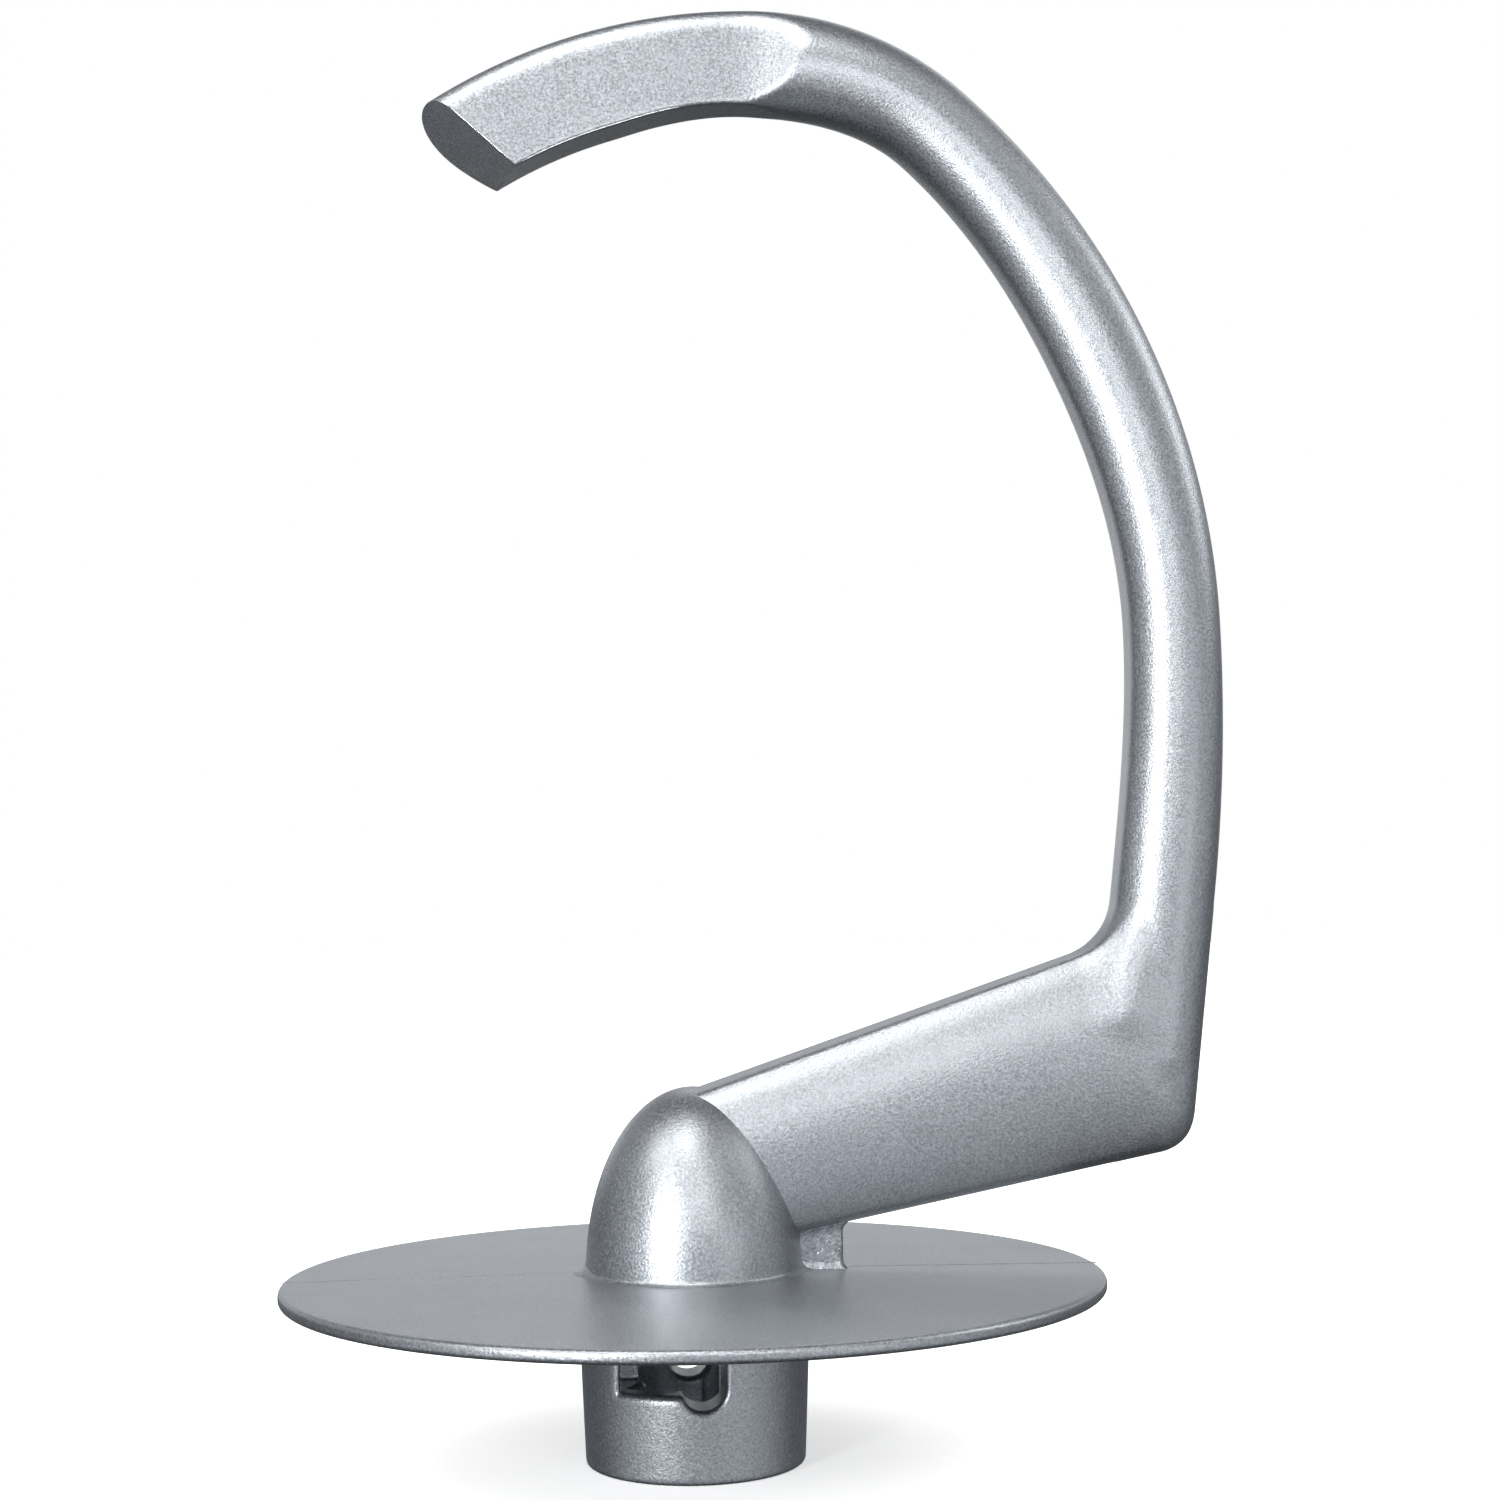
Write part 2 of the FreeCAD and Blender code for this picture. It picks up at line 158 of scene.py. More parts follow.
def bake(obj: bpy.types.Object) -> bpy.types.Object:
    """Turn an object's modifiers into a plain mesh and drop them.

    Args:
        obj: The object, with live modifiers.

    Returns:
        The same object.
    """
    graph = bpy.context.evaluated_depsgraph_get()
    graph.update()
    mesh = bpy.data.meshes.new_from_object(obj.evaluated_get(graph))
    mesh.name = obj.name
    obj.modifiers.clear()
    obj.data = mesh
    return obj


def mesh_from_field(name: str, low: Sequence[float], high: Sequence[float], step: float,
                    form: Callable[..., np.ndarray]) -> bpy.types.Object:
    """Skin the zero level of a distance field.

    Args:
        name: The object's name.
        low: Lowest corner of the sampled box, mm.
        high: Highest corner of the sampled box, mm.
        step: Sampling distance, mm.
        form: Signed distance as a function of x, y and z, negative inside.

    Returns:
        A closed, smooth mesh object.
    """
    axes = [np.arange(a, b + step, step) for a, b in zip(low, high)]
    x, y, z = np.meshgrid(*axes, indexing="ij")
    values = np.clip(form(x, y, z), -3 * step, 3 * step).astype(np.float32)
    grid = openvdb.FloatGrid(3 * step)
    grid.copyFromArray(np.ascontiguousarray(values))
    points, quads = grid.convertToQuads()
    points = np.asarray(points, float) * step + np.asarray(low, float)
    return make_object(name, points, np.asarray(quads)[:, ::-1])


def blend_union(a: np.ndarray, b: np.ndarray, reach: np.ndarray) -> np.ndarray:
    """Union of two distance fields with a fillet of that reach."""
    near = np.maximum(reach - np.abs(a - b), 0.0) / reach
    return np.minimum(a, b) - near * near * reach / 4


def blend_cut(a: np.ndarray, b: np.ndarray, reach: np.ndarray) -> np.ndarray:
    """Intersection of two distance fields with its edge rounded over that reach."""
    return -blend_union(-a, -b, np.asarray(reach))


def oval(u: np.ndarray, v: np.ndarray, reach_u: np.ndarray, reach_v: np.ndarray) -> np.ndarray:
    """Distance field of an ellipse with those half axes."""
    q = np.sqrt((u / reach_u) ** 2 + (v / reach_v) ** 2) + TINY
    slope = np.sqrt((u / reach_u ** 2) ** 2 + (v / reach_v ** 2) ** 2) + TINY
    return q * (q - 1) / slope


def lathe(name: str, outline: Sequence[Tuple[float, float]], steps: int) -> bpy.types.Object:
    """Turn a closed outline about Z.

    Args:
        name: The object's name.
        outline: Points as (radius, height), mm; a radius of zero closes on the axis.
        steps: Points round each ring.

    Returns:
        A closed, smooth mesh object.
    """
    turns = np.arange(steps) * 2 * math.pi / steps
    points: List[Point] = []
    rings: List[List[int]] = []
    for radius, height in outline:
        if radius < TINY:
            rings.append([len(points)] * steps)
            points.append((0.0, 0.0, height))
            continue
        rings.append(list(range(len(points), len(points) + steps)))
        points.extend((radius * math.cos(t), radius * math.sin(t), height) for t in turns)
    faces = []
    for lower, upper in zip(rings, rings[1:] + rings[:1]):
        for i in range(steps):
            j = (i + 1) % steps
            face = [lower[i], lower[j], upper[j], upper[i]]
            face = [v for k, v in enumerate(face) if v != face[k - 1]]
            if len(face) > 2:
                faces.append(face)
    return make_object(name, np.array(points), faces)


def join(pieces: Sequence[bpy.types.Object]) -> bpy.types.Object:
    """Put several plain meshes into the first.

    Args:
        pieces: The objects; all but the first are deleted.

    Returns:
        The first object.
    """
    whole = bmesh.new()
    for piece in pieces:
        whole.from_mesh(piece.data)
    whole.to_mesh(pieces[0].data)
    whole.free()
    for piece in pieces[1:]:
        bpy.data.objects.remove(piece)
    return pieces[0]


def bead(name: str, path: Sequence[Point], radius: float, slot: int) -> bpy.types.Object:
    """Make a thin, uneven closed tube.

    Args:
        name: The object's name.
        path: Points along its middle, mm.
        radius: Its widest radius, mm.
        slot: Number of the material slot of its faces.

    Returns:
        A closed mesh object that tapers at both ends.
    """
    centre = np.array(path, float)
    ahead = np.gradient(centre, axis=0)
    ahead /= np.linalg.norm(ahead, axis=1)[:, None]
    side = np.cross(ahead, (0.0, 1.0, 0.0))
    side /= np.linalg.norm(side, axis=1)[:, None]
    up = np.cross(side, ahead)
    count, turns = len(centre), 8
    steps = np.arange(count)
    wobble = np.sin(steps * 1.7) * np.sin(steps * 0.61 + 2)
    size = radius * (0.72 + 0.28 * wobble)
    size *= np.minimum(1.0, 0.25 + np.minimum(steps, count - 1 - steps) / 4)
    points, faces = [], []
    for i in range(count):
        for k in range(turns):
            turn = 2 * math.pi * k / turns
            spoke = side[i] * math.cos(turn) + up[i] * math.sin(turn)
            points.append(centre[i] + size[i] * spoke)
    for i in range(count - 1):
        for k in range(turns):
            a, b = i * turns + k, i * turns + (k + 1) % turns
            faces.append((a, b, b + turns, a + turns))
    faces += [tuple(range(turns))[::-1], tuple((count - 1) * turns + k for k in range(turns))]
    tube = make_object(name, np.array(points), faces)
    outward(tube)
    tube.data.polygons.foreach_set("material_index", [slot] * len(faces))
    return tube


def outward(obj: bpy.types.Object) -> None:
    """Turn every face of a closed mesh outwards.

    Args:
        obj: The mesh object.
    """
    edit = bmesh.new()
    edit.from_mesh(obj.data)
    bmesh.ops.recalc_face_normals(edit, faces=edit.faces[:])
    edit.to_mesh(obj.data)
    edit.free()


# ------------------------------------------------------------------ finishes

class Surface(Enum):
    """How a stretch of the casting's skin was left."""

    TUMBLED = "tumbled"
    AS_CAST = "as_cast"
    GROUND = "ground"
    BURR = "burr"


NOISE_LOW, NOISE_HIGH = 0.3, 0.7        # between these lie most of a noise texture's values
FLECK_DARK, FLECK_PALE = 0.62, 1.08     # brightness of the darkest and the palest grains
SCRATCH_TURN = math.radians(-38)        # direction of the grinding scratches
SCRATCH_STRETCH = 0.04                  # across to along, how drawn out each scratch is


@dataclass(frozen=True)
class Finish:
    """A procedural metal finish.

    Attributes:
        name: The material's name.
        pale: Lighter tone, sRGB hex.
        dark: Darker tone of the mottling, sRGB hex.
        roughness: Mean roughness.
        roughness_spread: Roughness change from grain to grain.
        grain: Grain size, mm.
        grain_depth: Height of the grains, mm.
        lump: Size of the broad unevenness, mm.
        lump_depth: Height of the broad unevenness, mm.
        scratch: Distance between grinding scratches, mm, zero for none.
        scratch_depth: Depth of the scratches, mm.
    """

    name: str
    pale: str
    dark: str
    roughness: float
    roughness_spread: float
    grain: float
    grain_depth: float
    lump: float
    lump_depth: float
    scratch: float = 0.0
    scratch_depth: float = 0.0

    def build(self) -> bpy.types.Material:
        """Build the node tree of this finish.

        Returns:
            The material, patterned on Object coordinates.
        """
        material = bpy.data.materials.new(self.name)
        material.use_nodes = True
        tree = material.node_tree
        tree.nodes.clear()
        place = add_node(tree, "ShaderNodeTexCoord").outputs["Object"]
        grain = add_node(tree, "ShaderNodeTexNoise", {"noise_dimensions": "3D"}, Vector=place,
                         Scale=1 / (self.grain * MM), Detail=2.0, Roughness=0.65)
        cloud = add_node(tree, "ShaderNodeTexNoise", {"noise_dimensions": "3D"}, Vector=place,
                         Scale=1 / (self.lump * MM), Detail=3.0, Roughness=0.55)
        tone = add_node(tree, "ShaderNodeMix", {"data_type": "RGBA"}, Factor=cloud.outputs["Fac"],
                        A=srgb(self.dark), B=srgb(self.pale))
        fleck = add_node(tree, "ShaderNodeMapRange", {}, Value=grain.outputs["Fac"],
                         From_Min=NOISE_LOW, From_Max=NOISE_HIGH,
                         To_Min=FLECK_DARK, To_Max=FLECK_PALE)
        colour = add_node(tree, "ShaderNodeMix", {"data_type": "RGBA", "blend_type": "MULTIPLY"},
                          Factor=1.0, A=tone.outputs["Result"], B=fleck.outputs["Result"])
        gloss = add_node(tree, "ShaderNodeMapRange", {}, Value=grain.outputs["Fac"],
                         From_Min=NOISE_LOW, From_Max=NOISE_HIGH,
                         To_Min=self.roughness - self.roughness_spread,
                         To_Max=self.roughness + self.roughness_spread)
        uneven = add_node(tree, "ShaderNodeBump", {}, Strength=1.0,
                          Distance=self.lump_depth * MM, Height=cloud.outputs["Fac"])
        skin = add_node(tree, "ShaderNodeBump", {}, Strength=1.0, Distance=self.grain_depth * MM,
                        Height=grain.outputs["Fac"], Normal=uneven.outputs["Normal"])
        if self.scratch:
            turned = add_node(tree, "ShaderNodeMapping", {}, Vector=place,
                              Rotation=(0.0, SCRATCH_TURN, 0.0),
                              Scale=(1.0, 1.0, SCRATCH_STRETCH))
            lines = add_node(tree, "ShaderNodeTexNoise", {"noise_dimensions": "3D"},
                             Vector=turned.outputs["Vector"], Scale=1 / (self.scratch * MM),
                             Detail=3.0, Roughness=0.7)
            skin = add_node(tree, "ShaderNodeBump", {}, Strength=1.0,
                            Distance=self.scratch_depth * MM, Height=lines.outputs["Fac"],
                            Normal=skin.outputs["Normal"])
        metal = add_node(tree, "ShaderNodeBsdfPrincipled", {}, Base_Color=colour.outputs["Result"],
                         Metallic=1.0, Roughness=gloss.outputs["Result"],
                         Normal=skin.outputs["Normal"])
        add_node(tree, "ShaderNodeOutputMaterial", {}, Surface=metal.outputs["BSDF"])
        return material


FINISHES: Dict[Surface, Finish] = {
    # Aluminium die casting tumbled in media: fine even satin grain, no direction
    Surface.TUMBLED: Finish("tumbled_cast_aluminium", "#c4c7cb", "#b3b7bb", 0.385, 0.07,
                            0.28, 0.045, 9.0, 0.02),
    # Skin straight from the mould where the tumbling media never reached: coarse and glittering
    Surface.AS_CAST: Finish("as_cast_aluminium_skin", "#c3c6ca", "#9ea2a7", 0.32, 0.10,
                            0.35, 0.060, 3.0, 0.08),
    # Metal rolled over at an edge by the grinding belt, thin and smooth; its near-white colour is a
    # painted glint along the edge
    Surface.BURR: Finish("burnished_burr_aluminium", "#f2f4f7", "#e2e5e9", 0.28, 0.05,
                         0.30, 0.010, 3.0, 0.01),
    # Belt ground after casting: darker, with fine scratches that run one way
    Surface.GROUND: Finish("belt_ground_aluminium", "#d2d5d8", "#b9bcc0", 0.45, 0.06,
                           0.20, 0.010, 4.0, 0.01, 0.30, 0.060),
}


def dress(obj: bpy.types.Object, *surfaces: Surface) -> None:
    """Give an object its finishes, sharing materials between pieces.

    Args:
        obj: The mesh object.
        *surfaces: Its surfaces, in the order of its material slots.
    """
    obj.data.materials.clear()
    for surface in surfaces:
        finish = FINISHES[surface]
        material = bpy.data.materials.get(finish.name) or finish.build()
        obj.data.materials.append(material)


def enlist(obj: bpy.types.Object, *nodes: str) -> bpy.types.Object:
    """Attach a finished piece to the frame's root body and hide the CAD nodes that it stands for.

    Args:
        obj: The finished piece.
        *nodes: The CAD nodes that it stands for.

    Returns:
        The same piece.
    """
    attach(obj, "root")
    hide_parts(*nodes)
    low, high = np.array(obj.bound_box).min(0) / MM, np.array(obj.bound_box).max(0) / MM
    log.info("%s: %d faces, mm %s to %s", obj.name, len(obj.data.polygons),
             np.round(low, 1).tolist(), np.round(high, 1).tolist())
    return obj


# ------------------------------------------------------------------ the casting's regions

@dataclass
class DriveHub:
    """Drafted sleeve with keyways and two bayonet windows. Sizes in mm and degrees."""

    bore: float = 6.45
    mouth: float = 12.4
    collar: float = 13.25
    length: float = 19.4
    buried: float = 0.4
    mouth_round: float = 0.6
    keyway_half: float = 2.6
    keyway_reach: float = 9.6
    keyway_turn: float = 34.0
    keyway_edge: float = 0.5
    window_reach: float = 8.7
    ledge: float = 9.6
    ledge_lap: float = 1.0
    window_top: float = 15.0
    seat: Point = (0.3, 10.4, 2.45)
    window_depth: float = 0.3
    edge: float = 0.9
    step: float = 0.25
    margin: float = 1.0
    head_margin: float = 1.5

    def form(self, x: np.ndarray, y: np.ndarray, z: np.ndarray) -> np.ndarray:
        """Distance field of the sleeve.

        Args:
            x: Places across, mm.
            y: Places front to back, mm.
            z: Heights, mm.

        Returns:
            Signed distance in mm, negative in the metal.
        """
        radius = np.hypot(x, y)
        wall = radius - self.mouth - (self.collar - self.mouth) * z / self.length
        wall = blend_cut(wall, -z, self.mouth_round)
        wall = blend_cut(wall, self.bore - radius, self.edge)
        wall = np.maximum(wall, z - self.length - self.buried)
        turn = math.radians(self.keyway_turn)
        across = x * math.cos(turn) + -y * math.sin(turn)
        along = x * math.sin(turn) + y * math.cos(turn)
        keyway = np.maximum(np.maximum(np.abs(across) - self.keyway_half,
                                       np.abs(along) - self.keyway_reach), z - self.window_top)
        wall = blend_cut(wall, -keyway, self.keyway_edge)
        side = np.where(y < 0, x, -x)
        mid, height, reach = self.seat
        box = np.maximum(np.maximum(-self.window_reach - side, side - mid - reach),
                         np.maximum(height - z, z - self.window_top))
        shelf = np.maximum(np.maximum(-self.window_reach - side, side - mid + reach),
                           np.maximum(self.ledge - z, z - height - self.ledge_lap))
        round_seat = np.hypot(side - mid, z - height) - reach
        window = np.minimum(np.minimum(box, shelf), round_seat)
        window = np.maximum(window, self.bore * self.window_depth - np.abs(y))
        return blend_cut(wall, -window, self.edge)

    def build(self) -> bpy.types.Object:
        """Mesh, finish and enlist the sleeve.

        Returns:
            The finished piece.
        """
        reach = self.collar + self.margin
        top = self.length + self.head_margin
        hub = mesh_from_field("drive_sleeve", (-reach, -reach, -self.margin), (reach, reach, top),
                              self.step, self.form)
        dress(hub, Surface.TUMBLED)
        return enlist(hub, "drive_hub")


@dataclass
class DoughShield:
    """Round shield with a rounded rim and the mould's parting line across it. Sizes in mm."""

    bore: float = 6.45
    bevel: float = 0.4
    dome: float = 12.3
    radius: float = 46.5
    under: float = 19.4
    rim: float = 1.55
    crown: float = 1.9
    rim_round: float = 0.6
    roof_drop: float = 0.08
    seam_width: float = 0.5
    seam_height: float = 0.07
    seam_inset: float = 0.05
    seam_steps: int = 240
    turns: int = 360

    def top(self, radius: float) -> float:
        """Height of the upper face at a radius on the parting line."""
        share = (radius - self.dome) / (self.radius - self.dome)
        return self.under + self.crown + (self.rim - self.crown) * max(share, 0.0)

    def outline(self) -> List[Tuple[float, float]]:
        """Closed section of the shield, from the bore's lower edge outwards.

        Returns:
            Points as (radius, height), mm.
        """
        points = [(self.bore, self.under), (self.bore + self.bevel, self.under)]
        middle = self.radius - self.rim_round
        points += [(r, self.under) for r in np.linspace(10, middle - 0.6, 16)]
        for low, centre in ((-90, self.under + self.rim_round),
                            (0, self.top(self.radius) - self.rim_round)):
            for i in range(9):
                turn = math.radians(low + 90 * i / 8)
                points.append((middle + self.rim_round * math.cos(turn),
                               centre + self.rim_round * math.sin(turn)))
        points += [(r, self.top(r)) for r in np.linspace(middle - 0.5, self.bore + self.bevel, 28)]
        return points + [(self.bore, self.top(self.bore))]

    def seam(self) -> bpy.types.Object:
        """The mould's parting line, a low uneven ridge across the upper face.

        Returns:
            A closed mesh object.
        """
        end = self.radius - self.seam_inset
        section = [(-0.5, -0.6), (-0.42, 0.35), (-0.2, 0.9), (0.2, 0.9), (0.42, 0.35), (0.5, -0.6)]
        sides = len(section)
        points, faces = [], []
        for i, x in enumerate(np.linspace(-end, end, self.seam_steps)):
            wave = 0.75 + 0.25 * math.sin(x * 1.9) * math.sin(x * 0.63 + 1)
            for across, height in section:
                lift = self.seam_height * height * wave
                points.append((x, across * self.seam_width, self.top(abs(x)) + lift))
            if i:
                for k in range(sides):
                    a, b = (i - 1) * sides + k, (i - 1) * sides + (k + 1) % sides
                    faces.append((a, a + sides, b + sides, b))
        faces += [tuple(range(sides)), tuple(len(points) - 1 - k for k in range(sides))]
        return make_object("seam", np.array(points), faces)

    def build(self) -> bpy.types.Object:
        """Mesh, finish and enlist the shield.

        Returns:
            The finished piece.
        """
        shield = lathe("dough_guard", self.outline(), self.turns)
        for vertex in shield.data.vertices:
            x, y, z = vertex.co / MM
            upper = smooth_step(self.under + 0.3, self.under + 0.9, np.array(z))
            vertex.co.z -= self.roof_drop * MM * abs(y) / self.radius * float(upper)
        join([shield, self.seam()])
        outward(shield)
        dress(shield, Surface.TUMBLED)
        return enlist(shield, "dough_shield")


@dataclass
class BossDome:
    """Hollow half ellipsoid that carries the arm. Sizes in mm."""

    bore: float = 6.45
    floor: float = 21.3
    radius: float = 12.3
    height: float = 20.7
    socket_end: float = 30.0
    buried: float = 0.5
    foot: float = 0.55
    side_foot: float = 1.5
    side_power: int = 24
    foot_zone: float = 2.5
    turns: int = 256

    def outline(self) -> List[Tuple[float, float]]:
        """Closed section of the dome, from the bore's lower edge outwards.

        Returns:
            Points as (radius, height), mm, closest together at the foot.
        """
        low, top = self.floor - self.buried, self.floor + self.height
        points = [(self.bore, low), (self.radius + 0.6, low)]
        for height in np.linspace(0, 1.5, 12):
            share = math.sqrt(1 - (height / self.height) ** 2)
            points.append((self.radius * share, self.floor + height))
        for turn in np.linspace(math.asin(1.6 / self.height), math.pi / 2, 70)[:-1]:
            points.append((self.radius * math.cos(turn), self.floor + self.height * math.sin(turn)))
        return points + [(0.0, top), (0.0, self.socket_end), (self.bore, self.socket_end)]

    def build(self) -> bpy.types.Object:
        """Mesh, flare, finish and enlist the dome.

        Returns:
            The finished piece.
        """
        dome = lathe("shaft_dome", self.outline(), self.turns)
        for vertex in dome.data.vertices:
            x, y, z = vertex.co / MM
            radius = math.hypot(x, y)
            above = max(z - self.floor, 0.0)
            if radius < self.radius - 1 or above > self.foot_zone:
                continue
            side = abs(x) / radius
            foot = self.foot + (self.side_foot - self.foot) * side ** self.side_power
            if above < foot:
                flare = foot - math.sqrt(max(foot ** 2 - (foot - above) ** 2, 0.0))
                vertex.co.x *= 1 + flare / radius
                vertex.co.y *= 1 + flare / radius
        outward(dome)
        dress(dome, Surface.TUMBLED)
        return enlist(dome, "boss_dome")


@dataclass
class GateRib:
    """Stub of the mould's gate under the arm, never machined. Sizes in mm."""

    left: float = 11.2
    right: float = 17.0
    half: float = 1.6
    floor: float = 20.6
    shield_top: float = 21.1
    arm_bottom: float = 22.9
    arm_climb: float = math.tan(math.radians(11))
    arm_lap: float = 0.9
    fillet: float = 1.1
    flare: float = 0.75
    edge: float = 0.7
    rough: float = 0.035
    low: Point = (10.5, -3.2, 20.2)
    high: Point = (18.9, 3.2, 27.8)
    step: float = 0.12

    def form(self, x: np.ndarray, y: np.ndarray, z: np.ndarray) -> np.ndarray:
        """Distance field of the rib, flared where it meets the arm and the shield.

        Args:
            x: Places along the arm, mm.
            y: Places front to back, mm.
            z: Heights, mm.

        Returns:
            Signed distance in mm, negative in the metal.
        """
        roof = self.arm_bottom + self.arm_climb * x
        low = np.clip(1 - (z - self.shield_top) / self.fillet, 0, 1) ** 2
        high = np.clip(1 - (roof + 0.25 - z) / self.fillet, 0, 1) ** 2
        flare = self.flare * low + self.flare * high
        pits = (np.sin(x * 7.1 + 2 * np.sin(z * 5.3)) * np.sin(z * 6.7 + 1.5 * np.sin(x * 4.1))
                + 0.6 * np.sin(x * 13 + z * 9) * np.sin(z * 15 - x * 5)) * self.rough
        sides = np.abs(y) - self.half - flare * 0.6 + pits
        ends = np.maximum(self.left - x, x - self.right - flare)
        web = blend_cut(sides, ends, self.edge)
        return np.maximum(web, np.maximum(self.floor - z, z - roof - self.arm_lap))

    def build(self) -> bpy.types.Object:
        """Mesh, finish and enlist the rib.

        Returns:
            The finished piece.
        """
        rib = mesh_from_field("gate_stub", self.low, self.high, self.step, self.form)
        dress(rib, Surface.AS_CAST)
        return enlist(rib, "gate_rib")


@dataclass
class HookLine:
    """The hook's outer line: a straight foot, then four arcs that turn left. Sizes in mm."""

    start: Tuple[float, float] = (61.5, 64.0)
    heading: float = math.radians(83)
    arcs: Tuple[Tuple[float, float], ...] = (
        (204.0, 8.8), (89.0, 46.0), (37.7, 42.0), (68.0, 35.6))

    def point(self, distance: float) -> Point:
        """Follow the line, straight before its start.

        Args:
            distance: Distance from the start, mm.

        Returns:
            X and Z in mm and the heading in radians.
        """
        x, z = self.start
        turned = self.heading
        if distance <= 0:
            return x + distance * math.cos(turned), z + distance * math.sin(turned), turned
        for i, (radius, sweep) in enumerate(self.arcs):
            last = i == len(self.arcs) - 1
            turn = distance / radius if last else min(distance / radius, math.radians(sweep))
            x += radius * (math.sin(turned + turn) - math.sin(turned))
            z -= radius * (math.cos(turned + turn) - math.cos(turned))
            turned += turn
            distance -= radius * turn
            if distance <= TINY:
                break
        return x, z, turned

    def ends(self) -> List[float]:
        """Distance of each arc's end, from zero at the start.

        Returns:
            One distance more than there are arcs, mm.
        """
        total, found = 0.0, [0.0]
        for radius, sweep in self.arcs:
            total += radius * math.radians(sweep)
            found.append(total)
        return found


@dataclass
class HookSection:
    """Section of the hook square to its outer line. Sizes in mm."""

    rod: float = 11.8
    waist: float = 11.1
    blade: float = 14.1
    half: float = 5.7
    front: float = 3.0
    back: float = 4.2
    rod_front: float = 5.3
    bulge: float = 0.25
    edge: float = 0.35
    land: float = 0.35
    blade_land: float = 1.5
    blade_trim: float = 1.8
    past_edge: float = 0.04
    land_fade: Tuple[float, float] = (60.0, 112.0)
    blade_rise: Tuple[float, float] = (-6.0, 12.0)
    trim_rise: Tuple[float, float] = (-10.0, 18.0)
    flat_shares: Tuple[float, float] = (0.3, 1.2)
    flat_start: float = 134.0
    scoop: float = 19.0
    outer_soft: float = 1.3
    outer_fade: Tuple[float, float] = (0.6, 1.1)
    line: HookLine = field(default_factory=HookLine)

    def width(self, at: np.ndarray) -> np.ndarray:
        """Width across the hook.

        Args:
            at: Distances along the outer line, mm.

        Returns:
            The width at each, mm.
        """
        e = self.line.ends()
        stops = [e[0], e[1], (e[1] + e[2]) / 2, e[2], e[3], (e[3] + e[4]) / 2]
        sizes = [self.rod, self.waist, self.rod, self.waist, (self.waist + self.blade) / 2,
                 self.blade]
        found = np.full(np.shape(at), sizes[0], float)
        for (s0, w0), (s1, w1) in zip(zip(stops, sizes), zip(stops[1:], sizes[1:])):
            found = found + (w1 - w0) * smooth_step(s0, s1, at)
        return found

    def inner(self, at: np.ndarray) -> np.ndarray:
        """Distance of the trimmed inner edge from the outer line."""
        e = self.line.ends()
        low, high = self.trim_rise
        return self.width(at) - self.blade_trim * smooth_step(e[3] + low, e[3] + high, at)

    def flatness(self, at: np.ndarray) -> np.ndarray:
        """Zero on the round rod, one on the flat-fronted blade."""
        e = self.line.ends()
        low, high = (e[2] + share * (e[3] - e[2]) for share in self.flat_shares)
        return smooth_step(low, high, at)

    def form(self, at: np.ndarray, inset: np.ndarray, y: np.ndarray) -> np.ndarray:
        """Distance field of the section.

        Args:
            at: Distances along the outer line, mm.
            inset: Distances inwards from the outer line, mm.
            y: Places front to back, mm.

        Returns:
            Signed distance in mm, negative in the metal.
        """
        e = self.line.ends()
        flat = self.flatness(at)
        width = self.width(at)
        middle = width / 2
        edge = self.inner(at)
        # the oval runs past its inner edge, where it is then cut off flat
        blade = smooth_step(e[3] + self.blade_rise[0], e[3] + self.blade_rise[1], at)
        rod = 1 - smooth_step(*self.land_fade, at)
        spare = self.land * rod + self.blade_land * blade + self.past_edge
        across = inset - middle
        reach_u = np.where(across > 0, middle + spare, middle)
        back = self.half + (self.back - self.half) * flat
        swell = 1 + self.bulge * flat * np.clip(-across / middle, -1, 1)
        fore = self.half + (self.rod_front - self.half) * flat
        reach_v = np.where(y > 0, back * swell, fore)
        body = oval(across, y, reach_u, reach_v)
        body = blend_cut(body, inset - edge, self.edge)
        run = np.maximum(self.flat_start - at, 0.0)
        depth = self.front + run * run / (2 * self.scoop)
        low, high = (middle * share for share in self.outer_fade)
        outer = self.edge + self.outer_soft * flat * (1 - smooth_step(low, high, inset))
        return -blend_union(-body, y + depth, outer)


